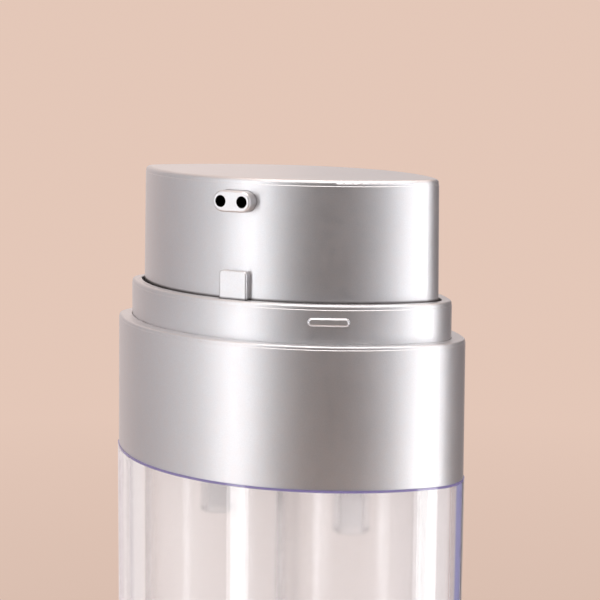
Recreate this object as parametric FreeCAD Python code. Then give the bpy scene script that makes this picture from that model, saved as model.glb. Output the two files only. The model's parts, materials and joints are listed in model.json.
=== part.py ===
import FreeCAD, Part
import math
import os

os.makedirs("parts", exist_ok=True)

V = FreeCAD.Vector
UP = V(0, 0, 1)

# All sizes are in millimetres. The base stands on z = 0, +Z is up and the nozzle faces -Y.

# Oval outline shared by the bottle, the collars and the actuator
BOTTLE_LENGTH = 56.0
BOTTLE_DEPTH = 35.2
END_RADIUS = 7.0
LEAST_END_RADIUS = 0.5

# Heights that show from outside
BOTTLE_HEIGHT = 88.5
COLLAR_HEIGHT = 19.6
RIM_HEIGHT = 5.3
ACTUATOR_HEIGHT = 16.6

# Clearances
FIT_GAP = 0.08
SEAL_GAP = 0.05
GUIDE_GAP = 0.45
KEY_GAP = 0.2
STOP_GAP = 0.1
PLANE_TOLERANCE = 1e-4

# Fine step in the satin walls a little below their upper edges
STEP_WIDTH = 0.05
SHELL_STEP_DROP = 0.85
RIM_STEP_DROP = 0.7
COLLAR_STEP_DROP = 0.52

# Outer bottle
BOTTLE_WALL = 1.8
FLOOR_THICKNESS = 4.0
BOTTOM_ROUND = 1.0
FOOT_WIDTH = 3.4
FOOT_RECESS = 0.8
SEAT_DEPTH = 0.6
VENT_RADIUS = 0.8
NECK_RISE = 8.5

# Snap ring that holds the outer collar on the bottle's neck
SNAP_RISE = 3.6
SNAP_HEIGHT = 1.4
SNAP_PROUD = 0.3

# Outer collar
COLLAR_INSET = 0.15
COLLAR_DRAFT = 0.4
COLLAR_WALL = 0.8
LIP_HEIGHT = 3.6
COLLAR_EDGE = 0.3

# Inner collar with its keyway and raised bead
LEDGE_WIDTH = 2.25
RIM_WALL = 1.4
RIM_ROUND = 0.42
RIM_INNER_ROUND = 0.15
BEAD_OFFSET = 13.8
BEAD_DROP = 2.3
BEAD_LENGTH = 5.75
BEAD_HEIGHT = 1.2
BEAD_PROUD = 0.45
BEAD_ROUND = 0.38

# Pump carrier
DECK_RISE = 5.5
DECK_THICKNESS = 1.6
CARRIER_WALL = 1.2

# Product chambers
CHAMBER_GAP = 1.0
CHAMBER_SIDE_GAP = 1.6
CHAMBER_WALL = 1.0
SHOULDER_RISE = 2.5
SHOULDER_WIDTH = 2.0
PUMP_NECK_WALL = 1.05

# Snap bead that holds the pump cap on the chamber's neck
BEAD_RING_HEIGHT = 1.0
BEAD_RING_PROUD = 0.4
BEAD_RING_DROP = 1.4

# Follower pistons
FOLLOWER_WALL = 1.2
FOLLOWER_LIP = 1.6
FOLLOWER_WAIST = 0.6
FOLLOWER_HEADROOM = 0.6
WELL_GAP = 0.8

# Pump housings with their inlet tubes
INLET_DROP = 9.0
INLET_RADIUS = 2.6
INLET_WALL = 1.0
INLET_CHAMFER = 0.25
PUMP_FLOOR_RISE = 2.9
PUMP_FLOOR_THICKNESS = 0.8
PUMP_BORE = 4.2
PUMP_WALL = 1.1
PUMP_GAP = 0.15
FLANGE_THICKNESS = 1.0
GASKET_THICKNESS = 0.6

# Inlet check balls
BALL_RADIUS = 1.6
BALL_GAP = 0.25
BALL_LIFT = 1.0
SEAT_RADIUS = 1.1
LIP_RADIUS = 1.25
LIP_THICKNESS = 0.8
NOTCH_WIDTH = 0.9

# Stems and the pump pistons on them
STROKE = 5.0
DEAD_GAP = 0.4
STEM_RADIUS = 2.4
STEM_BORE = 1.3
FOOT_FLANGE = 0.8
FOOT_THICKNESS = 0.8
PUMP_PISTON_LENGTH = 3.3
PUMP_PISTON_LIP = 0.8
PUMP_PISTON_WAIST = 0.5
PORT_RADIUS = 0.55

# Pump caps
STOP_BOSS = 1.0
CAP_PLATE = 1.6
CAP_WALL = 1.4
SPRING_BOSS_HEIGHT = 0.9
SPRING_BOSS_WALL = 0.9

# Return springs
WIRE_RADIUS = 0.35
SPRING_RADIUS = 4.2
SPRING_TURNS = 5
END_PITCH = 1.2
POINTS_PER_TURN = 24
SEAT_GAP = 0.02

# Actuator shell
SHELL_DRAFT = 0.8
SHELL_WALL = 1.3
SHELL_TOP = 1.8
SHELL_ROUND = 0.58
PRESS_GAP = 0.5

# Guide key on the front of the shell
KEY_WIDTH = 4.4
KEY_RISE = 3.95
KEY_DEPTH = 2.4
KEY_PROUD = 0.9
KEY_CORNER = 0.55
KEY_ROUND = 0.25

# Nozzle and the core behind it
NOZZLE_LENGTH = 6.0
NOZZLE_HEIGHT = 2.9
NOZZLE_PROUD = 1.35
NOZZLE_DROP = 3.2
NOZZLE_TAIL = 1.6
NOZZLE_ROUND = 0.3
OUTLET_SPACING = 3.36
OUTLET_RADIUS = 0.8
CORE_THICKNESS = 3.6
SOCKET_LENGTH = 7.6
SOCKET_WALL = 1.6
SOCKET_STOP = 1.1
SPRING_FLANGE = 1.2
CHANNEL_RADIUS = 0.85

# Levels above the base
Z_SHOULDER = BOTTLE_HEIGHT
Z_LEDGE = Z_SHOULDER + COLLAR_HEIGHT
Z_RIM = Z_LEDGE + RIM_HEIGHT
Z_TOP = Z_RIM + ACTUATOR_HEIGHT
Z_SEAT = FLOOR_THICKNESS - SEAT_DEPTH
Z_NECK = Z_SHOULDER + NECK_RISE
Z_FLANGE = Z_NECK + DECK_THICKNESS
Z_LIP = Z_LEDGE - LIP_HEIGHT
Z_DECK = Z_SHOULDER + DECK_RISE
Z_DECK_TOP = Z_DECK + DECK_THICKNESS
Z_INLET = Z_SHOULDER - INLET_DROP
Z_PUMP_FLOOR = Z_SHOULDER + PUMP_FLOOR_RISE
Z_FOOT = Z_PUMP_FLOOR + STROKE + DEAD_GAP
Z_PUMP_PISTON = Z_FOOT + FOOT_THICKNESS
Z_STOP = Z_PUMP_PISTON + PUMP_PISTON_LENGTH + STOP_GAP
Z_HOUSING_TOP = Z_STOP + STOP_BOSS
Z_PUMP_NECK = Z_HOUSING_TOP - FLANGE_THICKNESS - GASKET_THICKNESS
Z_CAP_TOP = Z_HOUSING_TOP + CAP_PLATE
Z_SKIRT = Z_CAP_TOP + STROKE + PRESS_GAP
Z_CEILING = Z_TOP - SHELL_TOP
Z_CORE = Z_CEILING - CORE_THICKNESS
Z_SOCKET = Z_CORE - SOCKET_LENGTH
Z_STEM_TOP = Z_CORE - SOCKET_STOP
Z_NOZZLE = Z_TOP - NOZZLE_DROP
Z_KEY_LOW = Z_RIM - KEY_DEPTH
Z_KEY_TOP = Z_RIM + KEY_RISE

# Insets from the bottle's outline
IN_COLLAR_BORE = COLLAR_INSET + COLLAR_WALL
IN_NECK = IN_COLLAR_BORE + FIT_GAP
IN_PLUG = BOTTLE_WALL + FIT_GAP
IN_LIP = LEDGE_WIDTH - FIT_GAP
IN_GUIDE = LEDGE_WIDTH + RIM_WALL
IN_SHELL = IN_GUIDE + GUIDE_GAP
IN_SHELL_BORE = IN_SHELL + SHELL_WALL
IN_CORE = IN_SHELL_BORE + FIT_GAP

# Radii of the pump stack
HOUSING_RADIUS = PUMP_BORE + PUMP_WALL
NECK_BORE = HOUSING_RADIUS + PUMP_GAP
NECK_RADIUS = NECK_BORE + PUMP_NECK_WALL
CAP_BORE = NECK_RADIUS + FIT_GAP
CAP_RADIUS = CAP_BORE + CAP_WALL
BALL_BORE = BALL_RADIUS + BALL_GAP
SOCKET_RADIUS = STEM_RADIUS + SOCKET_WALL

# Front faces along -Y
SHELL_FRONT = BOTTLE_DEPTH / 2 - IN_SHELL
KEY_FRONT = SHELL_FRONT + KEY_PROUD
NOZZLE_FRONT = SHELL_FRONT + NOZZLE_PROUD
NOZZLE_BACK = SHELL_FRONT - SHELL_WALL - NOZZLE_TAIL


def oval_sizes(inset):
    """Half length, half depth, end radius and broad radius of the four-arc oval."""
    half_length = BOTTLE_LENGTH / 2 - inset
    half_depth = BOTTLE_DEPTH / 2 - inset
    end = max(END_RADIUS - inset, LEAST_END_RADIUS)
    reach = half_length - end
    broad = (reach ** 2 + half_depth ** 2 - end ** 2) / (2 * (half_depth - end))
    return half_length, half_depth, end, broad


def oval_wire(inset, z):
    """Two broad arcs joined smoothly by two end arcs."""
    half_length, half_depth, end, broad = oval_sizes(inset)
    reach = half_length - end
    centre = broad - half_depth
    join_x = reach + end * reach / (broad - end)
    join_y = end * centre / (broad - end)
    front_left, front_right = V(-join_x, -join_y, z), V(join_x, -join_y, z)
    back_left, back_right = V(-join_x, join_y, z), V(join_x, join_y, z)
    arcs = [
        Part.Arc(front_left, V(0, -half_depth, z), front_right),
        Part.Arc(front_right, V(half_length, 0, z), back_right),
        Part.Arc(back_right, V(0, half_depth, z), back_left),
        Part.Arc(back_left, V(-half_length, 0, z), front_left),
    ]
    return Part.Wire([arc.toShape() for arc in arcs])


def oval_prism(inset, low, high):
    return Part.Face(oval_wire(inset, low)).extrude(V(0, 0, high - low))


def drafted_oval(inset_low, inset_high, low, high):
    """Oval solid whose wall leans inward from its lower to its upper outline."""
    return Part.makeLoft([oval_wire(inset_low, low), oval_wire(inset_high, high)], True, True)


def lean(angle, height):
    return height * math.tan(math.radians(angle))


def stepped_oval(inset, draft, low, high, drop):
    """Drafted oval solid whose wall steps in by a fine slope near the top."""
    z_step = high - drop
    z_inner = z_step + STEP_WIDTH
    inset_step = inset + lean(draft, z_step - low)
    inset_inner = inset_step + STEP_WIDTH
    wall = drafted_oval(inset, inset_step, low, z_step)
    slope = drafted_oval(inset_step, inset_inner, z_step, z_inner)
    rim = drafted_oval(inset_inner, inset_inner + lean(draft, high - z_inner), z_inner, high)
    return wall.fuse([slope, rim]).removeSplitter()


def turned(points):
    """Solid of revolution about Z from (radius, height) points."""
    corners = [V(radius, 0, z) for radius, z in points]
    face = Part.Face(Part.makePolygon(corners + corners[:1]))
    return face.revolve(V(0, 0, 0), UP, 360)


def cylinder(radius, low, high, x=0.0, y=0.0):
    return Part.makeCylinder(radius, high - low, V(x, y, low), UP)


def pill(length, height, back, front, z):
    """Pill-shaped prism along -Y, from y = -back to y = -front."""
    radius = height / 2
    half = length / 2 - radius
    low_left, low_right = V(-half, -back, z - radius), V(half, -back, z - radius)
    high_left, high_right = V(-half, -back, z + radius), V(half, -back, z + radius)
    outline = [
        Part.makeLine(low_left, low_right),
        Part.Arc(low_right, V(half + radius, -back, z), high_right).toShape(),
        Part.makeLine(high_right, high_left),
        Part.Arc(high_left, V(-half - radius, -back, z), low_left).toShape(),
    ]
    return Part.Face(Part.Wire(outline)).extrude(V(0, back - front, 0))


def edges_at(shape, z):
    """Edges that lie wholly in the level z."""
    flat = []
    for edge in shape.Edges:
        if max(abs(edge.BoundBox.ZMin - z), abs(edge.BoundBox.ZMax - z)) < PLANE_TOLERANCE:
            flat.append(edge)
    return flat


def edges_at_front(shape, y):
    """Edges that lie wholly in the plane of that y."""
    flat = []
    for edge in shape.Edges:
        if max(abs(edge.BoundBox.YMin - y), abs(edge.BoundBox.YMax - y)) < PLANE_TOLERANCE:
            flat.append(edge)
    return flat


def pump_offset():
    """Distance of each pump's axis from the middle, for the largest pair of round chambers."""
    half_length, half_depth, end, broad = oval_sizes(BOTTLE_WALL)
    reach = broad - CHAMBER_SIDE_GAP + CHAMBER_GAP / 2
    return (reach ** 2 - (broad - half_depth) ** 2) / (2 * reach)


def chamber_radius():
    """Outer radius that leaves the gap between the two chambers."""
    return pump_offset() - CHAMBER_GAP / 2


def outer_bottle():
    """Clear oval cup with a stepped neck, a standing ring, two chamber seats and two air vents."""
    body = oval_prism(0, 0, Z_SHOULDER)
    body = body.makeFillet(BOTTOM_ROUND, edges_at(body, 0))
    body = body.fuse(oval_prism(IN_NECK, Z_SHOULDER, Z_NECK))
    snap_low = Z_SHOULDER + SNAP_RISE
    body = body.fuse(oval_prism(IN_NECK - SNAP_PROUD, snap_low, snap_low + SNAP_HEIGHT))
    body = body.cut(oval_prism(BOTTLE_WALL, FLOOR_THICKNESS, Z_NECK))
    body = body.cut(oval_prism(FOOT_WIDTH, 0, FOOT_RECESS))
    for x in (-pump_offset(), pump_offset()):
        body = body.cut(cylinder(chamber_radius() + FIT_GAP, Z_SEAT, FLOOR_THICKNESS, x))
        body = body.cut(cylinder(VENT_RADIUS, 0, FLOOR_THICKNESS, x))
    return body.removeSplitter()


def outer_collar():
    """Satin band with an inward lip at the top and a snap groove inside."""
    band = stepped_oval(COLLAR_INSET, COLLAR_DRAFT, Z_SHOULDER, Z_LEDGE, COLLAR_STEP_DROP)
    band = band.makeFillet(COLLAR_EDGE, edges_at(band, Z_LEDGE))
    band = band.cut(oval_prism(IN_COLLAR_BORE, Z_SHOULDER, Z_LIP))
    band = band.cut(oval_prism(IN_LIP, Z_LIP, Z_LEDGE))
    groove_low = Z_SHOULDER + SNAP_RISE - FIT_GAP
    groove_high = groove_low + SNAP_HEIGHT + 2 * FIT_GAP
    return band.cut(oval_prism(IN_NECK - SNAP_PROUD - FIT_GAP, groove_low, groove_high))


def raised_bead():
    """Pill-shaped bead that follows the front wall of the inner collar."""
    half_length, half_depth, end, broad = oval_sizes(LEDGE_WIDTH)
    turn = math.degrees(math.asin(BEAD_OFFSET / broad))
    blank = pill(BEAD_LENGTH, BEAD_HEIGHT, broad - RIM_WALL / 2, broad + RIM_WALL, Z_RIM - BEAD_DROP)
    blank.rotate(V(0, 0, 0), UP, turn)
    blank.translate(V(0, broad - half_depth, 0))
    bead = blank.common(oval_prism(LEDGE_WIDTH - BEAD_PROUD, Z_LEDGE, Z_RIM))
    crest = max(bead.Faces, key=lambda face: broad_distance(face.CenterOfMass))
    return bead.makeFillet(BEAD_ROUND, crest.Edges)


def broad_distance(point):
    """Distance of a point from the axis of the front wall's arc."""
    half_length, half_depth, end, broad = oval_sizes(0)
    return math.hypot(point.x, point.y - (broad - half_depth))


def inner_collar():
    """Guide ring for the actuator with a rounded rim, a keyway and one raised bead."""
    ring = stepped_oval(LEDGE_WIDTH, 0, Z_LIP, Z_RIM, RIM_STEP_DROP)
    ring = ring.makeFillet(RIM_ROUND, edges_at(ring, Z_RIM))
    ring = ring.fuse(oval_prism(IN_COLLAR_BORE + FIT_GAP, Z_FLANGE, Z_LIP))
    ring = ring.cut(oval_prism(IN_GUIDE, Z_FLANGE, Z_RIM))
    inner_edges = [edge for edge in edges_at(ring, Z_RIM) if inside_guide(edge)]
    ring = ring.makeFillet(RIM_INNER_ROUND, inner_edges)
    keyway_low = Z_KEY_LOW - STROKE - PRESS_GAP
    keyway_width = KEY_WIDTH + 2 * KEY_GAP
    corner = V(-keyway_width / 2, -KEY_FRONT - KEY_GAP, keyway_low)
    ring = ring.cut(Part.makeBox(keyway_width, KEY_PROUD + KEY_GAP + RIM_WALL, Z_RIM - keyway_low, corner))
    return ring.fuse(raised_bead()).removeSplitter()


def inside_guide(edge):
    """True for an edge of the guide bore's mouth."""
    half_length, half_depth, end, broad = oval_sizes(IN_GUIDE)
    box = edge.BoundBox
    reach_x = max(box.XMax, -box.XMin)
    reach_y = max(box.YMax, -box.YMin)
    return reach_x < half_length + STOP_GAP and reach_y < half_depth + STOP_GAP


def pump_carrier():
    """Tray on the bottle's neck whose deck is clamped between chambers and pump caps."""
    tray = oval_prism(IN_PLUG, Z_DECK, Z_FLANGE)
    tray = tray.fuse(oval_prism(IN_NECK, Z_NECK, Z_FLANGE))
    tray = tray.cut(oval_prism(IN_PLUG + CARRIER_WALL, Z_DECK_TOP, Z_FLANGE))
    for x in (-pump_offset(), pump_offset()):
        tray = tray.cut(cylinder(NECK_RADIUS + FIT_GAP, Z_DECK, Z_DECK_TOP, x))
    return tray.removeSplitter()


def chamber():
    """Open-bottomed product tube with a sloped shoulder and a neck for the pump."""
    outer = chamber_radius()
    inner = outer - CHAMBER_WALL
    shoulder = NECK_RADIUS + SHOULDER_WIDTH
    ring_top = Z_PUMP_NECK - BEAD_RING_DROP
    ring_low = ring_top - BEAD_RING_HEIGHT
    z_ceiling = Z_DECK - CHAMBER_WALL
    return turned([
        (outer, Z_SEAT),
        (outer, Z_DECK - SHOULDER_RISE),
        (shoulder, Z_DECK),
        (NECK_RADIUS, Z_DECK),
        (NECK_RADIUS, ring_low),
        (NECK_RADIUS + BEAD_RING_PROUD, ring_low),
        (NECK_RADIUS + BEAD_RING_PROUD, ring_top),
        (NECK_RADIUS, ring_top),
        (NECK_RADIUS, Z_PUMP_NECK),
        (NECK_BORE, Z_PUMP_NECK),
        (NECK_BORE, z_ceiling),
        (shoulder - CHAMBER_WALL / 2, z_ceiling),
        (inner, z_ceiling - SHOULDER_RISE + CHAMBER_WALL / 2),
        (inner, Z_SEAT),
    ])


def follower_height():
    """Tall enough for a closed well that clears the inlet tube at the top of the stroke."""
    return INLET_DROP + FOLLOWER_HEADROOM + WELL_GAP + FOLLOWER_WALL


def follower_travel():
    """Rise from the seat until the crown nears the chamber's shoulder."""
    return Z_SHOULDER + FOLLOWER_HEADROOM - Z_SEAT - follower_height()


def follower_piston():
    """Cup with two wiping lips and a closed well in the middle."""
    lip = chamber_radius() - CHAMBER_WALL - SEAL_GAP
    waist = lip - FOLLOWER_WAIST
    well = INLET_RADIUS + WELL_GAP
    top = Z_SEAT + follower_height()
    return turned([
        (0, Z_SEAT),
        (well + FOLLOWER_WALL, Z_SEAT),
        (well + FOLLOWER_WALL, top - FOLLOWER_WALL),
        (waist - FOLLOWER_WALL, top - FOLLOWER_WALL),
        (waist - FOLLOWER_WALL, Z_SEAT),
        (lip, Z_SEAT),
        (lip, Z_SEAT + FOLLOWER_LIP),
        (waist, Z_SEAT + 2 * FOLLOWER_LIP),
        (waist, top - 2 * FOLLOWER_LIP),
        (lip, top - FOLLOWER_LIP),
        (lip, top),
        (well, top),
        (well, Z_SEAT + FOLLOWER_WALL),
        (0, Z_SEAT + FOLLOWER_WALL),
    ])


def ball_levels():
    """Underside of the lip over the ball, then the ball's centre on its seat."""
    lip_low = Z_PUMP_FLOOR - PUMP_FLOOR_THICKNESS - LIP_THICKNESS
    reach = math.sqrt(BALL_RADIUS ** 2 - LIP_RADIUS ** 2)
    return lip_low, lip_low - STOP_GAP - reach - BALL_LIFT


def seat_levels():
    """Lower and upper end of the 45-degree seat that just clears the resting ball."""
    lip_low, centre = ball_levels()
    touch = (BALL_RADIUS + SEAT_GAP) * math.sqrt(2)
    low = centre - touch + SEAT_RADIUS
    return low, low + BALL_BORE - SEAT_RADIUS


def pump_housing():
    """Pump cylinder hung by its flange, with a ball cage and a long inlet tube below."""
    lip_low, centre = ball_levels()
    seat_low, seat_high = seat_levels()
    lip_high = lip_low + LIP_THICKNESS
    bore = INLET_RADIUS - INLET_WALL
    body = turned([
        (INLET_RADIUS - INLET_CHAMFER, Z_INLET),
        (INLET_RADIUS, Z_INLET + INLET_CHAMFER),
        (INLET_RADIUS, lip_low),
        (HOUSING_RADIUS, Z_PUMP_FLOOR - PUMP_FLOOR_THICKNESS),
        (HOUSING_RADIUS, Z_HOUSING_TOP - FLANGE_THICKNESS),
        (NECK_RADIUS, Z_HOUSING_TOP - FLANGE_THICKNESS),
        (NECK_RADIUS, Z_HOUSING_TOP),
        (PUMP_BORE, Z_HOUSING_TOP),
        (PUMP_BORE, Z_PUMP_FLOOR),
        (LIP_RADIUS, lip_high),
        (LIP_RADIUS, lip_low),
        (BALL_BORE, lip_low),
        (BALL_BORE, seat_high),
        (SEAT_RADIUS, seat_low),
        (SEAT_RADIUS, seat_low - INLET_WALL),
        (bore, seat_low - 2 * INLET_WALL),
        (bore, Z_INLET + INLET_CHAMFER),
        (bore + INLET_CHAMFER, Z_INLET),
    ])
    for turn in (0, 90):
        corner = V(-BALL_BORE, -NOTCH_WIDTH / 2, lip_low)
        notch = Part.makeBox(2 * BALL_BORE, NOTCH_WIDTH, LIP_THICKNESS, corner)
        notch.rotate(V(0, 0, 0), UP, turn)
        body = body.cut(notch.common(cylinder(BALL_BORE, lip_low, lip_high)))
    return body


def inlet_ball():
    lip_low, centre = ball_levels()
    return Part.makeSphere(BALL_RADIUS, V(0, 0, centre))


def gasket():
    low, high = Z_PUMP_NECK, Z_PUMP_NECK + GASKET_THICKNESS
    return cylinder(NECK_RADIUS, low, high).cut(cylinder(NECK_BORE, low, high))


def pump_cap():
    """Snap cap over the chamber's neck that holds the housing and guides the stem."""
    groove_top = Z_PUMP_NECK - BEAD_RING_DROP + FIT_GAP
    groove_low = groove_top - BEAD_RING_HEIGHT - 2 * FIT_GAP
    groove = CAP_BORE + BEAD_RING_PROUD
    guide = STEM_RADIUS + FIT_GAP
    boss = guide + SPRING_BOSS_WALL
    return turned([
        (CAP_BORE, Z_DECK_TOP),
        (CAP_RADIUS, Z_DECK_TOP),
        (CAP_RADIUS, Z_CAP_TOP),
        (boss, Z_CAP_TOP),
        (boss, Z_CAP_TOP + SPRING_BOSS_HEIGHT),
        (guide, Z_CAP_TOP + SPRING_BOSS_HEIGHT),
        (guide, Z_STOP),
        (PUMP_BORE - FIT_GAP, Z_STOP),
        (PUMP_BORE - FIT_GAP, Z_HOUSING_TOP),
        (CAP_BORE, Z_HOUSING_TOP),
        (CAP_BORE, groove_top),
        (groove, groove_top),
        (groove, groove_low),
        (CAP_BORE, groove_low),
    ])


def stem():
    """Hollow stem with a closed foot and two cross ports that the pump piston covers."""
    foot = STEM_RADIUS + FOOT_FLANGE
    body = turned([
        (0, Z_FOOT),
        (foot, Z_FOOT),
        (foot, Z_PUMP_PISTON),
        (STEM_RADIUS, Z_PUMP_PISTON),
        (STEM_RADIUS, Z_STEM_TOP),
        (STEM_BORE, Z_STEM_TOP),
        (STEM_BORE, Z_PUMP_PISTON),
        (0, Z_PUMP_PISTON),
    ])
    port_z = Z_PUMP_PISTON + PUMP_PISTON_LENGTH / 2
    for direction in (V(1, 0, 0), V(0, 1, 0)):
        start = V(0, 0, port_z) - direction * foot
        body = body.cut(Part.makeCylinder(PORT_RADIUS, 2 * foot, start, direction))
    return body


def pump_piston():
    """Sleeve with an upper and a lower sealing lip, seated on the stem's foot."""
    lip = PUMP_BORE - FIT_GAP
    waist = lip - PUMP_PISTON_WAIST
    hole = STEM_RADIUS + SEAL_GAP
    top = Z_PUMP_PISTON + PUMP_PISTON_LENGTH
    return turned([
        (hole, Z_PUMP_PISTON),
        (lip, Z_PUMP_PISTON),
        (lip, Z_PUMP_PISTON + PUMP_PISTON_LIP),
        (waist, Z_PUMP_PISTON + PUMP_PISTON_LIP + PUMP_PISTON_WAIST),
        (waist, top - PUMP_PISTON_LIP - PUMP_PISTON_WAIST),
        (lip, top - PUMP_PISTON_LIP),
        (lip, top),
        (hole, top),
    ])


def spring_point(turns):
    """Point and unit tangent on the coil: tight end turns and wider turns between."""
    low = Z_CAP_TOP + WIRE_RADIUS + SEAT_GAP
    high = Z_SOCKET - WIRE_RADIUS - SEAT_GAP
    pitch = (high - low - 2 * END_PITCH) / (SPRING_TURNS - 2)
    wide = min(max(turns - 1, 0), SPRING_TURNS - 2)
    z = low + pitch * wide + END_PITCH * (turns - wide)
    rise = pitch if 1 < turns < SPRING_TURNS - 1 else END_PITCH
    angle = 2 * math.pi * turns
    point = V(SPRING_RADIUS * math.cos(angle), SPRING_RADIUS * math.sin(angle), z)
    along = V(-SPRING_RADIUS * math.sin(angle), SPRING_RADIUS * math.cos(angle), rise / (2 * math.pi))
    return point, along.normalize()


def arc_from(start, corner, end):
    """Arc that leaves start towards corner and arrives at end from it."""
    middle = (start + end) * 0.5
    half = (end - start).Length / 2
    height = (corner - middle).Length
    sagitta = half * math.tan(math.atan2(height, half) / 2)
    return Part.Arc(start, middle + (corner - middle) * (sagitta / height), end).toShape()


def biarc(start, start_along, end, end_along):
    """Two arcs that join two points smoothly."""
    chord = end - start
    both = start_along + end_along
    spread = 2 * (1 - start_along.dot(end_along))
    lever = (math.sqrt(chord.dot(both) ** 2 + spread * chord.dot(chord)) - chord.dot(both)) / spread
    first = start + start_along * lever
    second = end - end_along * lever
    joint = (first + second) * 0.5
    return [arc_from(start, first, joint), arc_from(joint, second, end)]


def spring_gap():
    """Least gap between one turn of the wire and the next, measured on points along it."""
    points = [spring_point(i / POINTS_PER_TURN)[0] for i in range(POINTS_PER_TURN * SPRING_TURNS + 1)]
    apart = []
    for i, point in enumerate(points):
        for other in points[i + POINTS_PER_TURN // 2:]:
            apart.append((point - other).Length)
    return min(apart) - 2 * WIRE_RADIUS


def return_spring():
    """One unbroken wire wound around the stem."""
    quarters = [spring_point(i / 4) for i in range(4 * SPRING_TURNS + 1)]
    arcs = []
    for (start, start_along), (end, end_along) in zip(quarters, quarters[1:]):
        arcs.extend(biarc(start, start_along, end, end_along))
    path = Part.Wire(arcs)
    start, along = quarters[0]
    ring = Part.Wire([Part.Circle(start, along, WIRE_RADIUS).toShape()])
    return path.makePipeShell([ring], True, False)


def guide_key():
    """Upright block with rounded upper corners and softened front edges."""
    half = KEY_WIDTH / 2
    back = -SHELL_FRONT + SHELL_WALL / 2
    bend = KEY_CORNER * (1 - math.sqrt(0.5))
    low, top = Z_KEY_LOW, Z_KEY_TOP
    right_side, right_top = V(half, back, top - KEY_CORNER), V(half - KEY_CORNER, back, top)
    left_side, left_top = V(-half, back, top - KEY_CORNER), V(KEY_CORNER - half, back, top)
    outline = [
        Part.makeLine(V(-half, back, low), V(half, back, low)),
        Part.makeLine(V(half, back, low), right_side),
        Part.Arc(right_side, V(half - bend, back, top - bend), right_top).toShape(),
        Part.makeLine(right_top, left_top),
        Part.Arc(left_top, V(bend - half, back, top - bend), left_side).toShape(),
        Part.makeLine(left_side, V(-half, back, low)),
    ]
    block = Part.Face(Part.Wire(outline)).extrude(V(0, -KEY_FRONT - back, 0))
    return block.makeFillet(KEY_ROUND, edges_at_front(block, -KEY_FRONT))


def nozzle_room():
    """Space for the nozzle insert with a small gap all around."""
    length = NOZZLE_LENGTH + 2 * SEAL_GAP
    height = NOZZLE_HEIGHT + 2 * SEAL_GAP
    return pill(length, height, NOZZLE_BACK, NOZZLE_FRONT, Z_NOZZLE)


def actuator_shell():
    """Flat-topped oval cap with a guide key and a pill-shaped window for the nozzle."""
    low_inset = IN_SHELL - lean(SHELL_DRAFT, Z_RIM - Z_SKIRT)
    cap = stepped_oval(low_inset, SHELL_DRAFT, Z_SKIRT, Z_TOP, SHELL_STEP_DROP)
    cap = cap.makeFillet(SHELL_ROUND, edges_at(cap, Z_TOP))
    cap = cap.fuse(guide_key())
    cap = cap.cut(oval_prism(IN_SHELL_BORE, Z_SKIRT, Z_CEILING))
    return cap.cut(nozzle_room())


def actuator_core():
    """Plate with two stem sockets and a channel from each to the nozzle."""
    core = oval_prism(IN_CORE, Z_CORE, Z_CEILING)
    for side in (-1, 1):
        x = side * pump_offset()
        core = core.fuse(cylinder(SOCKET_RADIUS, Z_SOCKET, Z_CORE, x))
        core = core.fuse(cylinder(SPRING_RADIUS + 2 * WIRE_RADIUS, Z_SOCKET, Z_SOCKET + SPRING_FLANGE, x))
    core = core.cut(nozzle_room())
    for side in (-1, 1):
        x = side * pump_offset()
        core = core.cut(cylinder(STEM_RADIUS + SEAT_GAP, Z_SOCKET, Z_STEM_TOP, x))
        core = core.cut(cylinder(STEM_BORE, Z_STEM_TOP, Z_NOZZLE, x))
        start = V(x, 0, Z_NOZZLE)
        way = V(side * OUTLET_SPACING / 2, -NOZZLE_BACK, Z_NOZZLE) - start
        core = core.cut(Part.makeCylinder(CHANNEL_RADIUS, way.Length, start, way))
        core = core.cut(Part.makeSphere(CHANNEL_RADIUS, start))
    return core.removeSplitter()


def nozzle_insert():
    """Pill-shaped insert with two round outlets."""
    body = pill(NOZZLE_LENGTH, NOZZLE_HEIGHT, NOZZLE_BACK, NOZZLE_FRONT, Z_NOZZLE)
    body = body.makeFillet(NOZZLE_ROUND, edges_at_front(body, -NOZZLE_FRONT))
    for side in (-1, 1):
        start = V(side * OUTLET_SPACING / 2, -NOZZLE_BACK, Z_NOZZLE)
        body = body.cut(Part.makeCylinder(OUTLET_RADIUS, NOZZLE_FRONT - NOZZLE_BACK, start, V(0, -1, 0)))
    return body


def save(shape, name):
    shape.exportStep("parts/" + name + ".step")


def build():
    single = {
        "outer_bottle": outer_bottle,
        "outer_collar": outer_collar,
        "inner_collar": inner_collar,
        "pump_carrier": pump_carrier,
        "actuator_shell": actuator_shell,
        "actuator_core": actuator_core,
        "nozzle_insert": nozzle_insert,
    }
    paired = {
        "chamber": chamber,
        "follower_piston": follower_piston,
        "pump_housing": pump_housing,
        "inlet_ball": inlet_ball,
        "gasket": gasket,
        "pump_cap": pump_cap,
        "stem": stem,
        "pump_piston": pump_piston,
        "spring": return_spring,
    }
    for name, make in single.items():
        save(make(), name)
    for name, make in paired.items():
        for label, side in (("left", -1), ("right", 1)):
            shape = make()
            shape.translate(V(side * pump_offset(), 0, 0))
            save(shape, label + "_" + name)
    print("Least gap in each spring:", round(spring_gap(), 3), "mm")


build()
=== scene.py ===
import bpy
import json
import math
from mathutils import Matrix, Vector

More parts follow.
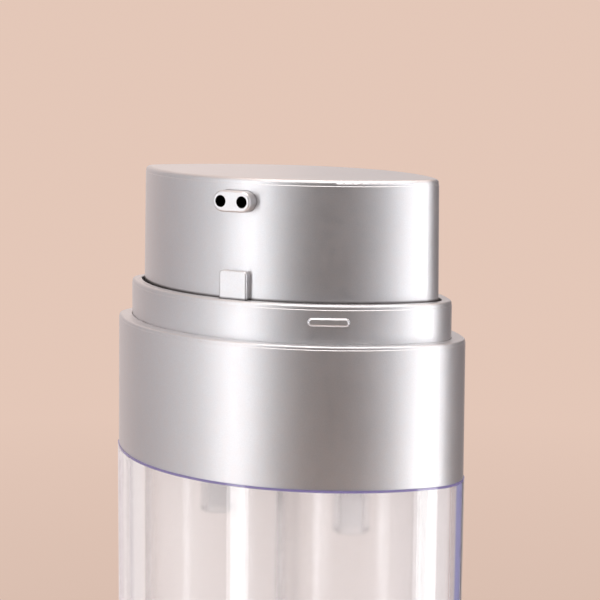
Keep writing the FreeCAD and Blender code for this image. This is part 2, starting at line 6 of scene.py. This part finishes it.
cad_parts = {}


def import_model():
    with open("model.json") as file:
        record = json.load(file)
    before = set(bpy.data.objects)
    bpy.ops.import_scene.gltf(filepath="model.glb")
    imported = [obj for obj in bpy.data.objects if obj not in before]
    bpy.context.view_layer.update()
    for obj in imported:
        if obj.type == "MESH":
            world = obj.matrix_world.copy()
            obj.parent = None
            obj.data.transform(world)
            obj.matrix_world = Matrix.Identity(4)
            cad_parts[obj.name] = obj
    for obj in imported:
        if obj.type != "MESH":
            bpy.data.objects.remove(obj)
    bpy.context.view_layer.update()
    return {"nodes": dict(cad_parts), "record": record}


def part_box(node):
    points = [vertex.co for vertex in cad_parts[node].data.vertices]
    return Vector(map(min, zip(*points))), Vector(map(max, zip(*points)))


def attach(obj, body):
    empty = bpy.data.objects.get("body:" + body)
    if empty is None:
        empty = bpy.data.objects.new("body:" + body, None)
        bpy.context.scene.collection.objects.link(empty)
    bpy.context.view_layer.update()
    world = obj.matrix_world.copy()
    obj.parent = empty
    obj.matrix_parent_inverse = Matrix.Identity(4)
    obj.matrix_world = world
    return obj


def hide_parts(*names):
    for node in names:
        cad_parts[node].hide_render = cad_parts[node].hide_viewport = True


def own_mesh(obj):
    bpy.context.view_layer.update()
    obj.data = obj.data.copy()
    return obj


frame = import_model()
nodes = frame["nodes"]
MM = 0.001

# Camera as fitted to the photo, in degrees, pixels and millimetres about the foot of the outer collar
VIEW_AZIMUTH = 29.97
VIEW_ELEVATION = 8.22
VIEW_ROLL = 0.53
FOCAL_PIXELS = 1820.5
IMAGE_PIXELS = 600
VIEW_DISTANCE = 264.3
VIEW_RIGHT = 2.26
VIEW_UP = 22.84
COLLAR_FOOT_Z = 88.5

# Outlets of the nozzle, in millimetres, whose bores are painted near-black as shade
OUTLET_SPACING = 3.36
OUTLET_RADIUS = 0.8
OUTLET_MARGIN = 0.02

# Painted shade line on the shell, standing in for the shade of the gap where it goes into the ring, in
# millimetres above the rim of the ring
GAP_SHADE_FULL = 0.08
GAP_SHADE_END = 0.34

# Violet line on the clear wall, in millimetres below the foot of the collar
VIOLET_LINE_FULL = 0.28
VIOLET_LINE_END = 0.36

# Clear wall: where its edge tint and the painted reflections at its tips begin and are full, by slant of
# view and by how far it faces sideways
EDGE_SLANT = (0.74, 0.9)
TIP_SLANT = (0.18, 0.36)
TIP_FACING = (0.9895, 0.9935)
TIP_DEPTH = 0.8

# Lamps, with their aim in millimetres
LAMP_AZIMUTH = 30
LAMP_AIM = (0, 0, 60)
LAMP_COLOUR = (1.0, 0.99, 0.99)

# Cards round the object, in millimetres
CARD_STEPS = 24
CARD_RADIUS = 200
CARD_LOW = 1
CARD_HIGH = 320
STRIP_JOIN = 47
BEHIND_RADIUS = 400
BEHIND_LOW = -300

# Floor, in metres: half its width, and where its paint gives way to the backdrop and its glow rises
FLOOR_HALF = 2.0
FLOOR_FADE = (0.06, 0.18)
FLOOR_RISE = (0.2, 0.45)

# Background colour of the photo in linear light, and the even light of the room
BACKDROP = (0.775, 0.574, 0.480, 1)
ROOM_LIGHT = (1.0, 0.97, 0.96, 1)
ROOM_STRENGTH = 0.9


def direction(azimuth, elevation):
    """Unit vector from the object, with azimuth 0 at the front and 90 at its right end."""
    a, e = math.radians(azimuth), math.radians(elevation)
    return Vector((math.sin(a) * math.cos(e), -math.cos(a) * math.cos(e), math.sin(e)))


def place_in_scene(name, data):
    obj = bpy.data.objects.new(name, data)
    bpy.context.scene.collection.objects.link(obj)
    return obj


def camera():
    data = bpy.data.cameras.new("camera")
    data.sensor_width = 36.0
    data.lens = FOCAL_PIXELS * data.sensor_width / IMAGE_PIXELS
    data.clip_start = 0.01
    data.clip_end = 20.0
    back = direction(VIEW_AZIMUTH, VIEW_ELEVATION)
    level_right = direction(VIEW_AZIMUTH + 90, 0)
    level_up = back.cross(level_right)
    r = math.radians(VIEW_ROLL)
    right = math.cos(r) * level_right + math.sin(r) * level_up
    up = -math.sin(r) * level_right + math.cos(r) * level_up
    place = VIEW_DISTANCE * back + VIEW_RIGHT * right + VIEW_UP * up + Vector((0, 0, COLLAR_FOOT_Z))
    rotation = Matrix((right, up, back)).transposed().to_4x4()
    obj = place_in_scene("camera", data)
    obj.matrix_world = Matrix.Translation(place * MM) @ rotation
    bpy.context.scene.camera = obj


class Tree:
    """Small helper to write a node tree in few lines."""

    def __init__(self, owner):
        owner.use_nodes = True
        self.tree = owner.node_tree
        self.tree.nodes.clear()

    def feed(self, socket, value):
        """Link the socket to another one, or set its value."""
        if isinstance(value, bpy.types.NodeSocket):
            self.tree.links.new(value, socket)
        else:
            socket.default_value = value

    def add(self, kind, inputs=None, **settings):
        node = self.tree.nodes.new(kind)
        for name, value in settings.items():
            setattr(node, name, value)
        for name, value in (inputs or {}).items():
            self.feed(node.inputs[name], value)
        return node

    def shader(self, kind, inputs=None):
        return self.add(kind, inputs).outputs[0]

    def principled(self, inputs):
        return self.shader("ShaderNodeBsdfPrincipled", inputs)

    def blend(self, factor, first, second):
        """The first shader where the factor is nought, the second where it is one."""
        return self.shader("ShaderNodeMixShader", {0: factor, 1: first, 2: second})

    def math(self, operation, a, b=0.0, c=0.0):
        node = self.add("ShaderNodeMath", {0: a, 1: b, 2: c}, operation=operation)
        return node.outputs[0]

    def position(self):
        return self.add("ShaderNodeTexCoord").outputs["Object"]

    def split(self, vector):
        """The X, Y and Z of a vector."""
        return self.add("ShaderNodeSeparateXYZ", {0: vector}).outputs

    def noise(self, scale, detail):
        node = self.add("ShaderNodeTexNoise", {"Vector": self.position(), "Scale": scale, "Detail": detail})
        return node.outputs["Fac"]

    def ramp(self, value, low, high, from_low=0.0, from_high=1.0):
        """The value carried from one range to another, and held at its ends."""
        limits = {"From Min": from_low, "From Max": from_high, "To Min": low, "To Max": high}
        return self.add("ShaderNodeMapRange", {"Value": value, **limits}).outputs["Result"]

    def mix(self, factor, a, b):
        """The first colour where the factor is nought, the second where it is one."""
        node = self.add("ShaderNodeMix", {0: factor}, data_type="RGBA")
        self.feed(node.inputs[6], a)
        self.feed(node.inputs[7], b)
        return node.outputs[2]

    def bump(self, height, strength, distance):
        node = self.add("ShaderNodeBump", {"Height": height, "Strength": strength, "Distance": distance})
        return node.outputs["Normal"]

    def light_path(self, ray):
        return self.add("ShaderNodeLightPath").outputs[ray]

    def shows_background(self):
        """One for rays from the camera, off metal and through clear walls."""
        seen = self.math("MAXIMUM", self.light_path("Is Camera Ray"), self.light_path("Is Glossy Ray"))
        return self.math("MAXIMUM", seen, self.light_path("Is Transmission Ray"))

    def output(self, surface, kind="ShaderNodeOutputMaterial"):
        self.add(kind, {"Surface": surface})


def material(name):
    mat = bpy.data.materials.new(name)
    return mat, Tree(mat)


def satin_silver(name="satin_silver", painted_shade_mask=None, painted_shade_colour=None):
    """Metallised satin finish with a very fine grain, and painted shade in another colour where it is
    marked.
    """
    dark = (0.70, 0.71, 0.73, 1)
    light = (0.77, 0.78, 0.80, 1)
    warm = (0.73, 0.69, 0.685, 1)
    grain_share = 0.55
    patch_share = 0.225
    mat, t = material(name)
    grain = t.noise(6000.0, 2.0)
    cloud = t.noise(90.0, 3.0)
    mottle = t.noise(900.0, 3.0)
    patches = t.math("MULTIPLY", t.math("ADD", cloud, mottle), patch_share)
    speck = t.math("MULTIPLY_ADD", grain, grain_share, patches)
    colour = t.mix(t.ramp(speck, 0.0, 1.0, 0.35, 0.65), dark, light)
    colour = t.mix(t.ramp(mottle, 0.2, 0.42, 0.4, 0.62), colour, warm)
    # Where the mask is one, the colour is replaced by painted shade.
    if painted_shade_mask:
        colour = t.mix(painted_shade_mask(t), colour, painted_shade_colour)
    uneven = t.math("ADD", t.ramp(cloud, -0.02, 0.02), t.ramp(mottle, -0.035, 0.035))
    shader = t.principled({
        "Base Color": colour,
        "Metallic": 1.0,
        "Roughness": t.math("ADD", t.ramp(grain, 0.4, 0.46), uneven),
        "Normal": t.bump(grain, 0.12, 0.00005),
    })
    t.output(shader)
    return mat


def painted_bore_shade(t):
    """Painted shade: one inside the two outlets of the nozzle, nought outside, where the deep bores are
    painted near-black.
    """
    low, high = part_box("nozzle_insert")
    place = t.split(t.position())
    across = t.math("SUBTRACT", t.math("ABSOLUTE", place["X"]), OUTLET_SPACING / 2 * MM)
    above = t.math("SUBTRACT", place["Z"], (low[2] + high[2]) / 2)
    reach = t.math("SQRT", t.math("ADD", t.math("POWER", across, 2.0), t.math("POWER", above, 2.0)))
    return t.math("LESS_THAN", reach, (OUTLET_RADIUS + OUTLET_MARGIN) * MM)


def painted_gap_shade(t):
    """Painted shade: one where the shell goes down into the ring, fading out just above it, standing in for
    the shade of the gap.
    """
    ring_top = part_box("inner_collar")[1][2]
    height = t.split(t.position())["Z"]
    return t.ramp(height, 1.0, 0.0, ring_top + GAP_SHADE_FULL * MM, ring_top + GAP_SHADE_END * MM)


def lamps_through(t, shader):
    """Let rays from the lamps pass the clear wall, so that what is inside is lit."""
    clear = t.shader("ShaderNodeBsdfTransparent")
    t.output(t.blend(t.light_path("Is Shadow Ray"), shader, clear))


def violet_line(t, place):
    """One on the clear wall just below the collar and above, nought further down."""
    end = (COLLAR_FOOT_Z - VIOLET_LINE_END) * MM
    full = (COLLAR_FOOT_Z - VIOLET_LINE_FULL) * MM
    return t.ramp(place["Z"], 0.0, 1.0, end, full)


def painted_tip_reflections(t, place, slant):
    """Painted reflections: one on the outside of the clear wall at both ends of the oval, where it is seen
    at a slant.
    """
    normal = t.split(t.add("ShaderNodeTexCoord").outputs["Normal"])
    sideways = t.ramp(t.math("ABSOLUTE", normal["X"]), 0.0, 1.0, *TIP_FACING)
    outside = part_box("outer_bottle")[1][0] - TIP_DEPTH * MM
    at_end = t.math("GREATER_THAN", t.math("ABSOLUTE", place["X"]), outside)
    slanted = t.ramp(slant, 0.0, 1.0, *TIP_SLANT)
    return t.math("MULTIPLY", t.math("MULTIPLY", sideways, at_end), slanted)


def clear_bottle():
    """Polished clear wall, tinted at its edges, with painted reflections at its two tips, grey at the left
    and blue at the right, and a thin violet line where the collar meets it.
    """
    plain = (0.985, 0.98, 0.99, 1)
    edge_tint = (0.66, 0.65, 0.80, 1)
    # Colours painted at the two tips, standing in for what the thick wall reflects there
    left_tip_reflection = (0.60, 0.57, 0.59, 1)
    right_tip_reflection = (0.22, 0.23, 0.66, 1)
    line_tint = (0.2, 0.17, 0.36, 1)
    most_clear, least_clear, edge_loss = 0.96, 0.1, 0.45
    mat, t = material("clear_bottle")
    place = t.split(t.position())
    line = violet_line(t, place)
    slant = t.add("ShaderNodeLayerWeight", {"Blend": 0.5}).outputs["Facing"]
    edge = t.ramp(slant, 0.0, 1.0, *EDGE_SLANT)
    painted_tip_colour = t.mix(t.math("GREATER_THAN", place["X"], 0.0), left_tip_reflection, right_tip_reflection)
    tint = t.mix(painted_tip_reflections(t, place, slant), t.mix(edge, plain, edge_tint), painted_tip_colour)
    clarity = t.math("SUBTRACT", t.ramp(line, most_clear, least_clear), t.math("MULTIPLY", edge, edge_loss))
    shader = t.principled({
        "Base Color": t.mix(line, tint, line_tint),
        "Roughness": t.ramp(t.noise(140.0, 2.0), 0.0, 0.006),
        "IOR": 1.57,
        "Transmission Weight": t.math("MAXIMUM", clarity, least_clear),
    })
    lamps_through(t, shader)
    return mat


def clear_chamber():
    """Clear wall with a faint milkiness."""
    mat, t = material("clear_chamber")
    shader = t.principled({
        "Base Color": (0.99, 0.985, 0.985, 1),
        "Roughness": t.ramp(t.noise(200.0, 2.0), 0.14, 0.2),
        "IOR": 1.49,
        "Transmission Weight": 0.97,
    })
    lamps_through(t, shader)
    return mat


def frosted_plastic(name, colour):
    """Translucent moulded plastic of the pump housings."""
    mat, t = material(name)
    shader = t.principled({
        "Base Color": colour,
        "Roughness": t.ramp(t.noise(300.0, 2.0), 0.06, 0.14),
        "IOR": 1.13,
        "Transmission Weight": 0.9,
    })
    lamps_through(t, shader)
    return mat


def moulded(name, colour, shade, roughness):
    """Plain moulded plastic or rubber with slight clouding."""
    spread = 0.06
    mat, t = material(name)
    cloud = t.noise(250.0, 3.0)
    shader = t.principled({
        "Base Color": t.mix(cloud, colour, shade),
        "Roughness": t.ramp(cloud, roughness - spread, roughness + spread),
        "Normal": t.bump(t.noise(3000.0, 1.0), 0.05, 0.0001),
    })
    t.output(shader)
    return mat


def steel():
    """Drawn wire and polished balls."""
    mat, t = material("steel")
    grain = t.noise(1500.0, 2.0)
    shader = t.principled({
        "Base Color": t.mix(grain, (0.6, 0.6, 0.61, 1), (0.7, 0.7, 0.71, 1)),
        "Metallic": 1.0,
        "Roughness": t.ramp(grain, 0.2, 0.32),
    })
    t.output(shader)
    return mat


def dress_nodes():
    """One finish for each material slot of the record, and a finish of their own for three nodes, two of
    them with painted shade.
    """
    finishes = {
        "satin_silver": satin_silver(),
        "clear_bottle": clear_bottle(),
        "clear_chamber": clear_chamber(),
        "frosted_plastic": frosted_plastic("frosted_plastic", (0.94, 0.95, 0.965, 1)),
        "natural_plastic": moulded("natural_plastic", (0.82, 0.81, 0.78, 1), (0.76, 0.75, 0.72, 1), 0.42),
        "white_seal": moulded("white_seal", (0.86, 0.86, 0.85, 1), (0.8, 0.8, 0.79, 1), 0.45),
        "soft_seal": moulded("soft_seal", (0.7, 0.7, 0.68, 1), (0.62, 0.62, 0.6, 1), 0.6),
        "steel": steel(),
    }
    own = {
        # The nozzle's outlet bores are painted near-black, standing in for the shade inside them.
        "nozzle_insert": satin_silver("outlet_silver_painted_shade", painted_bore_shade, (0.004, 0.004, 0.004, 1)),
        # The shell's satin silver is painted dark just above the ring, as shade of the gap.
        "actuator_shell": satin_silver("shell_silver_painted_shade", painted_gap_shade, (0.2, 0.19, 0.19, 1)),
        "left_pump_housing": frosted_plastic("shaded_plastic", (0.86, 0.875, 0.89, 1)),
    }
    for part in frame["record"]["subparts"]:
        slots = nodes[part["node"]].data.materials
        slots.clear()
        slots.append(own.get(part["node"], finishes[part["material_slot"]]))


def springs():
    """Copies of the return springs in place of their nodes, held with the bottle."""
    for node in ("left_spring", "right_spring"):
        piece = place_in_scene(f"{node}_coils", nodes[node].data.copy())
        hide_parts(node)
        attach(piece, "bottle")
        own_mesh(piece)


def area(name, elevation, distance, width, radiance):
    """Soft square lamp that faces the object and stays out of sight of the camera."""
    data = bpy.data.lights.new(name, "AREA")
    data.size = width * MM
    data.energy = radiance * math.pi * (width * MM) ** 2
    data.color = LAMP_COLOUR
    towards = direction(LAMP_AZIMUTH, elevation)
    place = Vector(LAMP_AIM) + towards * distance
    turn = towards.to_track_quat("Z", "Y").to_matrix().to_4x4()
    obj = place_in_scene(name, data)
    obj.matrix_world = Matrix.Translation(place * MM) @ turn
    obj.visible_camera = False
    return obj


def card_mesh(name, azimuths, radius, low, high):
    """Upright curved sheet, with an attribute that runs from nought to one along it."""
    first, last = azimuths
    points = []
    for i in range(CARD_STEPS + 1):
        outward = direction(first + (last - first) * i / CARD_STEPS, 0)
        for z in (low, high):
            points.append((outward * radius + Vector((0, 0, z))) * MM)
    faces = [(2 * i, 2 * i + 2, 2 * i + 3, 2 * i + 1) for i in range(CARD_STEPS)]
    mesh = bpy.data.meshes.new(name)
    mesh.from_pydata(points, [], faces)
    spread = mesh.attributes.new("spread", "FLOAT", "POINT")
    for i, value in enumerate(spread.data):
        value.value = (i // 2) / CARD_STEPS
    return mesh


def card_glow(name, start, end, through):
    mat, t = material(name)
    along = t.add("ShaderNodeAttribute", attribute_name="spread").outputs["Fac"]
    colour = t.mix(along, (*start, 1), (*end, 1))
    if through:
        colour = t.mix(t.light_path("Is Transmission Ray"), colour, (*through, 1))
    t.output(t.shader("ShaderNodeEmission", {"Color": colour}))
    return mat


def card(name, azimuths, start, end=None, through=None, seen_by=("glossy", "diffuse"),
         radius=CARD_RADIUS, low=CARD_LOW, high=CARD_HIGH):
    """Upright curved card whose glow runs from the start colour to the end colour, if there is one.

    The camera never sees it. Rays that came through a clear wall see the through colour, if there is one."""
    mesh = card_mesh(name, azimuths, radius, low, high)
    mesh.materials.append(card_glow(name, start, end or start, through))
    obj = place_in_scene(name, mesh)
    obj.visible_camera = False
    obj.visible_shadow = False
    obj.visible_glossy = "glossy" in seen_by
    obj.visible_diffuse = "diffuse" in seen_by
    obj.visible_transmission = "transmission" in seen_by


def world():
    """Even light from all round, with the backdrop's colour where it is seen."""
    data = bpy.data.worlds.new("studio")
    bpy.context.scene.world = data
    t = Tree(data)
    room = t.shader("ShaderNodeBackground", {"Color": ROOM_LIGHT, "Strength": ROOM_STRENGTH})
    backdrop = t.shader("ShaderNodeBackground", {"Color": BACKDROP, "Strength": 1.0})
    t.output(t.blend(t.shows_background(), room, backdrop), "ShaderNodeOutputWorld")


def floor():
    """Pale floor that takes the shadow near the object and meets the backdrop further out."""
    mesh = bpy.data.meshes.new("floor")
    corners = [(x * FLOOR_HALF, y * FLOOR_HALF, 0) for x, y in ((-1, -1), (1, -1), (1, 1), (-1, 1))]
    mesh.from_pydata(corners, [], [(0, 1, 2, 3)])
    mat, t = material("floor")
    reach = t.add("ShaderNodeVectorMath", {0: t.position()}, operation="LENGTH").outputs["Value"]
    far = t.ramp(reach, 0.0, 1.0, *FLOOR_FADE)
    paint = t.shader("ShaderNodeBsdfDiffuse", {"Color": BACKDROP})
    strength = t.ramp(reach, 0.9, 1.0, *FLOOR_RISE)
    glow = t.shader("ShaderNodeEmission", {"Color": BACKDROP, "Strength": strength})
    t.output(t.blend(t.math("MULTIPLY", t.shows_background(), far), paint, glow))
    mesh.materials.append(mat)
    obj = place_in_scene("floor", mesh)
    obj.visible_transmission = False


def lamps():
    """A lamp overhead, and a wide soft fill that neither metal nor glass shows."""
    area("overhead", elevation=78, distance=420, width=300, radiance=3.2)
    fill = area("soft_fill", elevation=25, distance=900, width=900, radiance=1.2)
    fill.visible_glossy = False
    fill.visible_transmission = False


def strips():
    """Two bright upright strips, which show on the silver and through the clear walls."""
    everything = ("glossy", "diffuse", "transmission")
    left_through = (5.0, 5.0, 5.0)
    right_through = (3.6, 3.6, 3.6)
    card("left_strip", (-25.5, -15), (3.85, 3.85, 3.9), through=left_through, seen_by=everything)
    card("right_strip", (71.3, 84.5), (3.5, 3.5, 3.55), through=right_through, seen_by=everything,
         low=STRIP_JOIN)
    card("right_strip_foot", (71, 84.5), (6.5, 6.5, 6.5), through=right_through, seen_by=everything,
         high=STRIP_JOIN)


def shades():
    """Darker cards between and beside the strips, which shape what the silver reflects."""
    card("left_shade", (-15, 8), (0.74, 0.75, 0.79), (0.065, 0.046, 0.04))
    card("front_shade", (8, 44), (0.064, 0.045, 0.038))
    card("right_shade", (44, 71.3), (0.11, 0.09, 0.09), (0.6, 0.6, 0.64))
    card("right_near", (84.5, 112), (0.48, 0.46, 0.47), (0.42, 0.40, 0.405))
    card("right_far", (112, 175), (0.22, 0.19, 0.19))
    card("left_near", (-62, -25.5), (0.61, 0.59, 0.605), (0.76, 0.75, 0.76))
    card("left_side", (-98, -62), (0.44, 0.385, 0.38), (0.56, 0.52, 0.53))
    card("left_far", (-150, -98), (0.98, 0.85, 0.80), (0.66, 0.565, 0.55))
    card("back_top", (175, 245), (0.62, 0.575, 0.575), radius=300, low=140, high=420)


def cards_behind():
    """Cards behind the object that only rays through a clear wall see."""
    behind = [
        ("behind_right_edge", (139, 160), (0.62, 0.53, 0.53), (0.44, 0.35, 0.33)),
        ("behind_right", (160, 200), (0.58, 0.53, 0.53), (0.92, 0.85, 0.84)),
        ("behind_middle", (200, 215), (0.84, 0.76, 0.73), (0.74, 0.665, 0.64)),
        ("behind_left", (215, 244), (0.86, 0.78, 0.75), (1.06, 0.98, 0.95)),
        ("behind_left_edge", (244, 268), (0.74, 0.67, 0.67), (0.90, 0.83, 0.82)),
    ]
    for name, azimuths, start, end in behind:
        card(name, azimuths, start, end, seen_by=("transmission",), radius=BEHIND_RADIUS, low=BEHIND_LOW)


camera()
world()
floor()
lamps()
strips()
shades()
cards_behind()
dress_nodes()
springs()
bpy.context.scene.view_settings.view_transform = "Standard"
